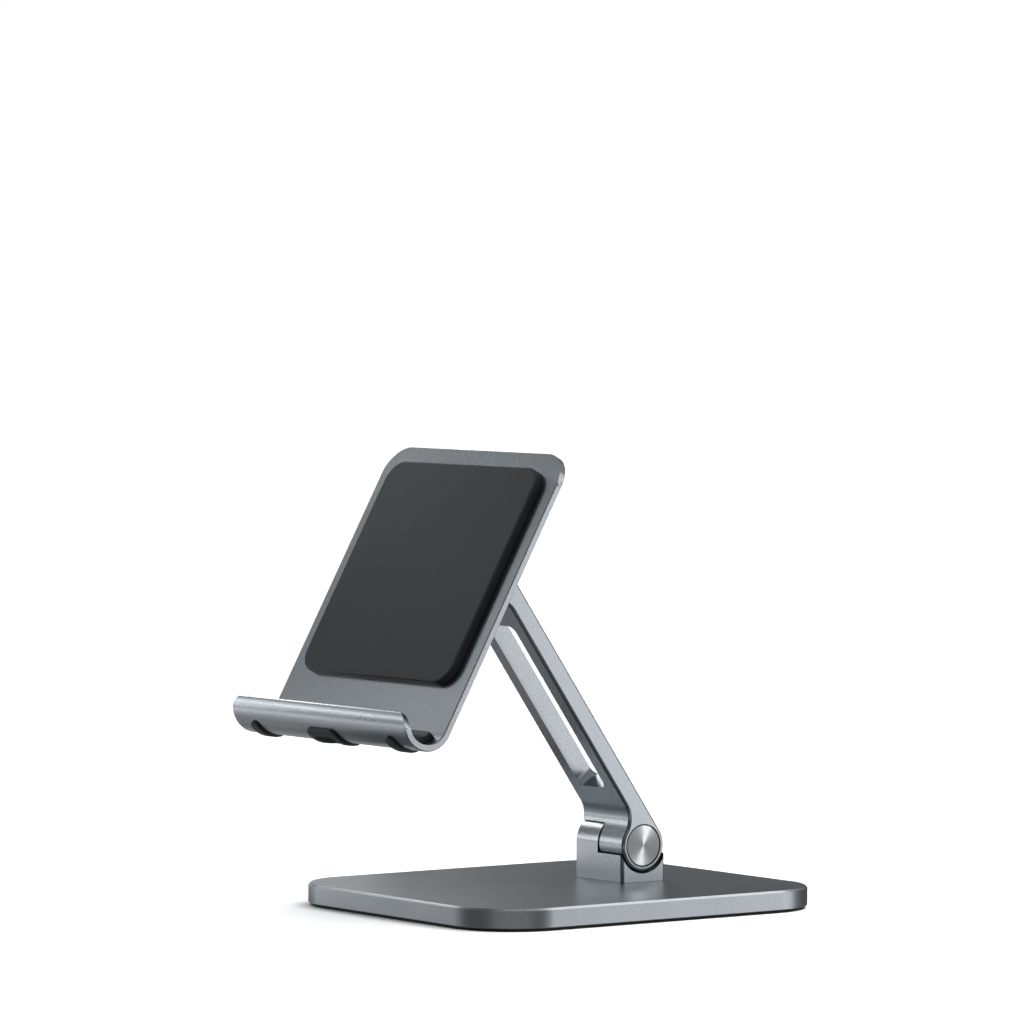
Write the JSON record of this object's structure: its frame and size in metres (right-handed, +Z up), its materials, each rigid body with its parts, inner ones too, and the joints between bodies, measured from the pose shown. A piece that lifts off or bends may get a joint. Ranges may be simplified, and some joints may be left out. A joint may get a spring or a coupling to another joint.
{
  "type": "tablet stand",
  "caption": "Desk stand for a tablet: flat rounded base, slotted arm and J-shaped cradle on friction hinges, with a padded lip and a cable opening.",
  "frame": {"origin": "middle of the base's footprint, on the desk", "axes": "+X is the user's right and runs along both hinge axes, +Y points away from the user, +Z is up"},
  "size_m": [0.134, 0.1805, 0.1655],
  "materials": {
    "anodised_grey": "fine bead-blasted, anodised space grey",
    "spun_cap": "spun face with radial sheen, clear anodised",
    "hinge_steel": "bright zinc plated",
    "bearing_polymer": "moulded acetal, satin",
    "black_silicone": "moulded silicone, soft satin",
    "foot_rubber": "cut sheet, matt"
  },
  "bodies": {
    "base": {"base_plate": "anodised_grey", "foot_pad": "foot_rubber", "base_screw_1": "hinge_steel", "base_screw_2": "hinge_steel", "base_screw_3": "hinge_steel", "base_screw_4": "hinge_steel", "lower_hinge_block": "anodised_grey", "lower_hinge_cap_left": "spun_cap", "lower_hinge_pin": "hinge_steel", "lower_hinge_disc_spring_1": "hinge_steel", "lower_hinge_disc_spring_2": "hinge_steel", "lower_hinge_nut": "hinge_steel", "lower_hinge_friction_washer": "bearing_polymer"},
    "arm": {"arm": "anodised_grey", "lower_hinge_sleeve": "bearing_polymer", "lower_hinge_cap_right": "spun_cap", "upper_hinge_sleeve": "bearing_polymer", "upper_hinge_cap_right": "spun_cap"},
    "cradle": {"cradle_plate": "anodised_grey", "cradle_screw_1": "hinge_steel", "cradle_screw_2": "hinge_steel", "cradle_screw_3": "hinge_steel", "cradle_screw_4": "hinge_steel", "upper_hinge_block": "anodised_grey", "upper_hinge_cap_left": "spun_cap", "upper_hinge_pin": "hinge_steel", "upper_hinge_disc_spring_1": "hinge_steel", "upper_hinge_disc_spring_2": "hinge_steel", "upper_hinge_nut": "hinge_steel", "upper_hinge_friction_washer": "bearing_polymer", "back_pad": "black_silicone", "lip_strip_left": "black_silicone", "lip_strip_right": "black_silicone", "cable_grommet": "black_silicone"}
  },
  "joints": [
    {"name": "arm_hinge", "type": "hinge", "parent": "base", "child": "arm", "pos_m": [0, 0.0282, 0.0214], "axis": [1, 0, 0], "range_deg": [-35, 18]},
    {"name": "cradle_hinge", "type": "hinge", "parent": "arm", "child": "cradle", "pos_m": [0, -0.04137, 0.12113], "axis": [1, 0, 0], "range_deg": [-60, 30]}
  ]
}
